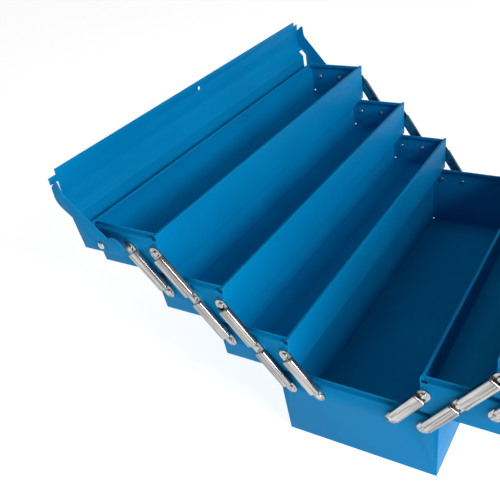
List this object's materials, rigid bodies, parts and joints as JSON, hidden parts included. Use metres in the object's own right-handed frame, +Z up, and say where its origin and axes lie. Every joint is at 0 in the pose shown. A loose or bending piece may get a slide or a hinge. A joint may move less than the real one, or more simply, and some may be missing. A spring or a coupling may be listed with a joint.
{
  "type": "cantilever toolbox with trays",
  "caption": "Sheet-steel cantilever toolbox: a base box with stepped trays that swing out on parallel links to both sides, and two hinged lid halves with carrying handles.",
  "frame": {"origin": "middle of the underside of the base box, which is also the bottom centre of the whole open toolbox", "axes": "+X across the box towards the right-hand trays, +Y along its length, +Z up"},
  "size_m": [0.7174, 0.5544, 0.3233],
  "materials": {
    "paint": "powder coated, satin",
    "zinc": "bright zinc plated",
    "handle": "bright zinc plated rod"
  },
  "bodies": {
    "base": {"base_box": "paint", "base_rivets": "zinc"},
    "top_tray_left_body": {"top_tray_left": "paint", "top_tray_rivets_left": "zinc", "lid_pivots_left": "zinc"},
    "middle_tray_left_body": {"middle_tray_left": "paint", "middle_tray_rivets_left": "zinc"},
    "lower_tray_left_body": {"lower_tray_left": "paint", "lower_tray_rivets_left": "zinc"},
    "top_short_links_left": {"top_short_link_left_front": "zinc", "top_short_link_left_back": "zinc"},
    "upper_long_links_left": {"upper_long_link_left_front": "zinc", "upper_long_link_left_back": "zinc"},
    "lower_long_links_left": {"lower_long_link_left_front": "zinc", "lower_long_link_left_back": "zinc"},
    "base_short_links_left": {"base_short_link_left_front": "zinc", "base_short_link_left_back": "zinc"},
    "lid_left_body": {"lid_left": "paint", "handle_brackets_left": "zinc", "bracket_rivets_left": "zinc"},
    "handle_left_body": {"handle_left": "handle"},
    "top_tray_right_body": {"top_tray_right": "paint", "top_tray_rivets_right": "zinc", "lid_pivots_right": "zinc"},
    "middle_tray_right_body": {"middle_tray_right": "paint", "middle_tray_rivets_right": "zinc"},
    "lower_tray_right_body": {"lower_tray_right": "paint", "lower_tray_rivets_right": "zinc"},
    "top_short_links_right": {"top_short_link_right_front": "zinc", "top_short_link_right_back": "zinc"},
    "upper_long_links_right": {"upper_long_link_right_front": "zinc", "upper_long_link_right_back": "zinc"},
    "lower_long_links_right": {"lower_long_link_right_front": "zinc", "lower_long_link_right_back": "zinc"},
    "base_short_links_right": {"base_short_link_right_front": "zinc", "base_short_link_right_back": "zinc"},
    "lid_right_body": {"lid_right": "paint", "handle_brackets_right": "zinc", "bracket_rivets_right": "zinc"},
    "handle_right_body": {"handle_right": "handle"}
  },
  "joints": [
    {"name": "trays_left", "type": "hinge", "parent": "base", "child": "lower_long_links_left", "pos_m": [-0.0825, 0, 0.085], "axis": [0, 1, 0], "range_deg": [0, 70.55]},
    {"name": "base_short_links_left_swing", "type": "hinge", "parent": "base", "child": "base_short_links_left", "pos_m": [-0.0455, 0, 0.085], "axis": [0, 1, 0], "range_deg": [0, 70.55]},
    {"name": "lower_tray_left_level", "type": "hinge", "parent": "lower_long_links_left", "child": "lower_tray_left_body", "pos_m": [-0.1192, 0, 0.1372], "axis": [0, 1, 0], "range_deg": [-70.55, 0]},
    {"name": "middle_tray_left_level", "type": "hinge", "parent": "lower_long_links_left", "child": "middle_tray_left_body", "pos_m": [-0.1559, 0, 0.1894], "axis": [0, 1, 0], "range_deg": [-70.55, 0]},
    {"name": "upper_long_links_left_swing", "type": "hinge", "parent": "lower_tray_left_body", "child": "upper_long_links_left", "pos_m": [-0.1562, 0, 0.1372], "axis": [0, 1, 0], "range_deg": [0, 70.55]},
    {"name": "top_tray_left_level", "type": "hinge", "parent": "upper_long_links_left", "child": "top_tray_left_body", "pos_m": [-0.2296, 0, 0.2416], "axis": [0, 1, 0], "range_deg": [-70.55, 0]},
    {"name": "top_short_links_left_swing", "type": "hinge", "parent": "middle_tray_left_body", "child": "top_short_links_left", "pos_m": [-0.2299, 0, 0.1894], "axis": [0, 1, 0], "range_deg": [0, 70.55]},
    {"name": "lid_left_hinge", "type": "hinge", "parent": "top_tray_left_body", "child": "lid_left_body", "pos_m": [-0.3036, 0, 0.2416], "axis": [0, 1, 0], "range_deg": [0, 90]},
    {"name": "handle_left_hinge", "type": "hinge", "parent": "lid_left_body", "child": "handle_left_body", "pos_m": [-0.35216, 0, 0.3073], "axis": [0, 1, 0], "range_deg": [0, 100]},
    {"name": "trays_right", "type": "hinge", "parent": "base", "child": "lower_long_links_right", "pos_m": [0.0825, 0, 0.085], "axis": [0, -1, 0], "range_deg": [0, 70.55]},
    {"name": "base_short_links_right_swing", "type": "hinge", "parent": "base", "child": "base_short_links_right", "pos_m": [0.0455, 0, 0.085], "axis": [0, -1, 0], "range_deg": [0, 70.55]},
    {"name": "lower_tray_right_level", "type": "hinge", "parent": "lower_long_links_right", "child": "lower_tray_right_body", "pos_m": [0.1192, 0, 0.1372], "axis": [0, -1, 0], "range_deg": [-70.55, 0]},
    {"name": "middle_tray_right_level", "type": "hinge", "parent": "lower_long_links_right", "child": "middle_tray_right_body", "pos_m": [0.1559, 0, 0.1894], "axis": [0, -1, 0], "range_deg": [-70.55, 0]},
    {"name": "upper_long_links_right_swing", "type": "hinge", "parent": "lower_tray_right_body", "child": "upper_long_links_right", "pos_m": [0.1562, 0, 0.1372], "axis": [0, -1, 0], "range_deg": [0, 70.55]},
    {"name": "top_tray_right_level", "type": "hinge", "parent": "upper_long_links_right", "child": "top_tray_right_body", "pos_m": [0.2296, 0, 0.2416], "axis": [0, -1, 0], "range_deg": [-70.55, 0]},
    {"name": "top_short_links_right_swing", "type": "hinge", "parent": "middle_tray_right_body", "child": "top_short_links_right", "pos_m": [0.2299, 0, 0.1894], "axis": [0, -1, 0], "range_deg": [0, 70.55]},
    {"name": "lid_right_hinge", "type": "hinge", "parent": "top_tray_right_body", "child": "lid_right_body", "pos_m": [0.3036, 0, 0.2416], "axis": [0, -1, 0], "range_deg": [0, 90]},
    {"name": "handle_right_hinge", "type": "hinge", "parent": "lid_right_body", "child": "handle_right_body", "pos_m": [0.35216, 0, 0.3073], "axis": [0, -1, 0], "range_deg": [0, 100]}
  ],
  "couplings": [
    {"joint": "base_short_links_left_swing", "follows": "trays_left", "ratio": 1},
    {"joint": "lower_tray_left_level", "follows": "trays_left", "ratio": -1},
    {"joint": "middle_tray_left_level", "follows": "trays_left", "ratio": -1},
    {"joint": "upper_long_links_left_swing", "follows": "trays_left", "ratio": 1},
    {"joint": "top_tray_left_level", "follows": "trays_left", "ratio": -1},
    {"joint": "top_short_links_left_swing", "follows": "trays_left", "ratio": 1},
    {"joint": "base_short_links_right_swing", "follows": "trays_right", "ratio": 1},
    {"joint": "lower_tray_right_level", "follows": "trays_right", "ratio": -1},
    {"joint": "middle_tray_right_level", "follows": "trays_right", "ratio": -1},
    {"joint": "upper_long_links_right_swing", "follows": "trays_right", "ratio": 1},
    {"joint": "top_tray_right_level", "follows": "trays_right", "ratio": -1},
    {"joint": "top_short_links_right_swing", "follows": "trays_right", "ratio": 1}
  ]
}
